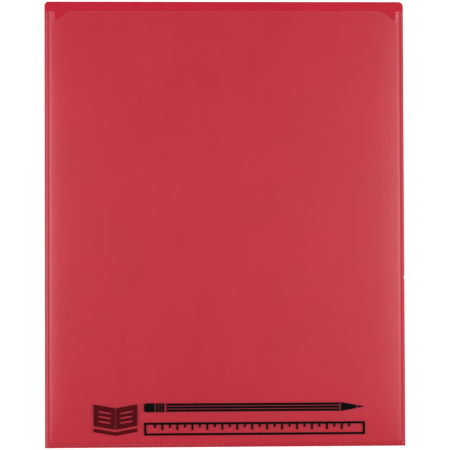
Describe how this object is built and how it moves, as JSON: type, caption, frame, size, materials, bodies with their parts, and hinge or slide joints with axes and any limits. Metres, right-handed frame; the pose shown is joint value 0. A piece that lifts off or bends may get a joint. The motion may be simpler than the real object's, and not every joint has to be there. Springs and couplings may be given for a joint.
{
  "type": "two-pocket school folder",
  "caption": "Closed letter-size polypropylene folder with a hinged spine, two inside pockets and a clear welded overlay pocket on its front cover.",
  "frame": {"origin": "middle of the closed folder's footprint, on the surface it lies on", "axes": "+X from the spine to the free edge, +Y up the page, +Z from the back cover to the front cover"},
  "size_m": [0.241, 0.2986, 0.0044],
  "materials": {
    "red_sheet": "fine-grained satin polypropylene sheet",
    "creased_sheet": "scored and folded polypropylene, smoother than the sheet",
    "welded_plastic": "glossy fused spots",
    "clear_film": "clear, slightly milky low-glare film",
    "maroon_ink": "screen-printed ink",
    "black_ink": "screen-printed ink"
  },
  "bodies": {
    "back": {"back_cover": "red_sheet", "rear_pocket_panel": "red_sheet", "rear_pocket_fold": "red_sheet", "rear_pocket_welds": "welded_plastic"},
    "spine": {"spine": "red_sheet", "rear_crease": "creased_sheet", "front_crease": "creased_sheet"},
    "front": {"front_cover": "red_sheet", "front_pocket_panel": "red_sheet", "front_pocket_fold": "red_sheet", "front_pocket_welds": "welded_plastic", "overlay_film": "clear_film", "overlay_spine_welds": "welded_plastic", "overlay_edge_welds": "welded_plastic", "overlay_bottom_welds": "welded_plastic", "printed_book": "maroon_ink", "printed_pencil": "black_ink", "printed_ruler": "black_ink"}
  },
  "joints": [
    {"name": "rear_crease_hinge", "type": "hinge", "parent": "back", "child": "spine", "pos_m": [-0.1202, 0, 0.0003], "axis": [0, -1, 0], "range_deg": [0, 90]},
    {"name": "front_crease_hinge", "type": "hinge", "parent": "spine", "child": "front", "pos_m": [-0.1202, 0, 0.0037], "axis": [0, -1, 0], "range_deg": [0, 90]}
  ]
}
